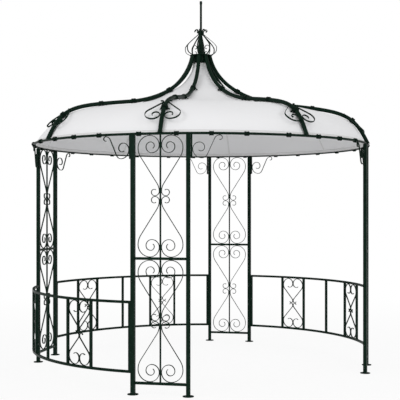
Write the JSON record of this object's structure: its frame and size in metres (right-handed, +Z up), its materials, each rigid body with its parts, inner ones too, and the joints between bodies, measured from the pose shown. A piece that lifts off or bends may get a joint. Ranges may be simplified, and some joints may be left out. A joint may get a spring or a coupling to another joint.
{
  "type": "round garden gazebo",
  "caption": "Round metal garden gazebo: lattice frames of scrollwork, curved railings, an ogee roof of tube ribs with a fabric cover, an onion crown and a finial.",
  "frame": {"origin": "centre of the round footprint, on the ground", "axes": "+Z up; the front lattice frame faces -Y, the right one +X, and the open entrance bay lies between them"},
  "size_m": [3.0548, 3.0548, 3.305],
  "materials": {
    "green_metal": "satin dark green powder coat",
    "tie_straps": "woven webbing with hook-and-loop ends",
    "cover_cloth": "matt woven polyester"
  },
  "bodies": {
    "root": {"foot_plates": "green_metal", "post_front_left": "green_metal", "post_front_right": "green_metal", "post_right_front": "green_metal", "post_right_back": "green_metal", "post_back_right": "green_metal", "post_back_left": "green_metal", "post_left_back": "green_metal", "post_left_front": "green_metal", "lattice_front": "green_metal", "lattice_right": "green_metal", "lattice_back": "green_metal", "lattice_left": "green_metal", "rails_right_back": "green_metal", "rails_back_left": "green_metal", "rails_left_front": "green_metal", "bars_right_back": "green_metal", "bars_back_left": "green_metal", "bars_left_front": "green_metal", "scrolls_right_back": "green_metal", "scrolls_back_left": "green_metal", "scrolls_left_front": "green_metal", "brackets_front": "green_metal", "brackets_right": "green_metal", "brackets_back": "green_metal", "brackets_left": "green_metal", "ring_front_right": "green_metal", "ring_right_back": "green_metal", "ring_back_left": "green_metal", "ring_left_front": "green_metal", "ring_straps": "tie_straps", "rib_front": "green_metal", "rib_front_right": "green_metal", "rib_right": "green_metal", "rib_right_back": "green_metal", "rib_back": "green_metal", "rib_back_left": "green_metal", "rib_left": "green_metal", "rib_left_front": "green_metal", "rib_straps": "tie_straps", "crown_plate": "green_metal", "onion_crown": "green_metal", "finial": "green_metal", "cover": "cover_cloth"}
  },
  "joints": []
}
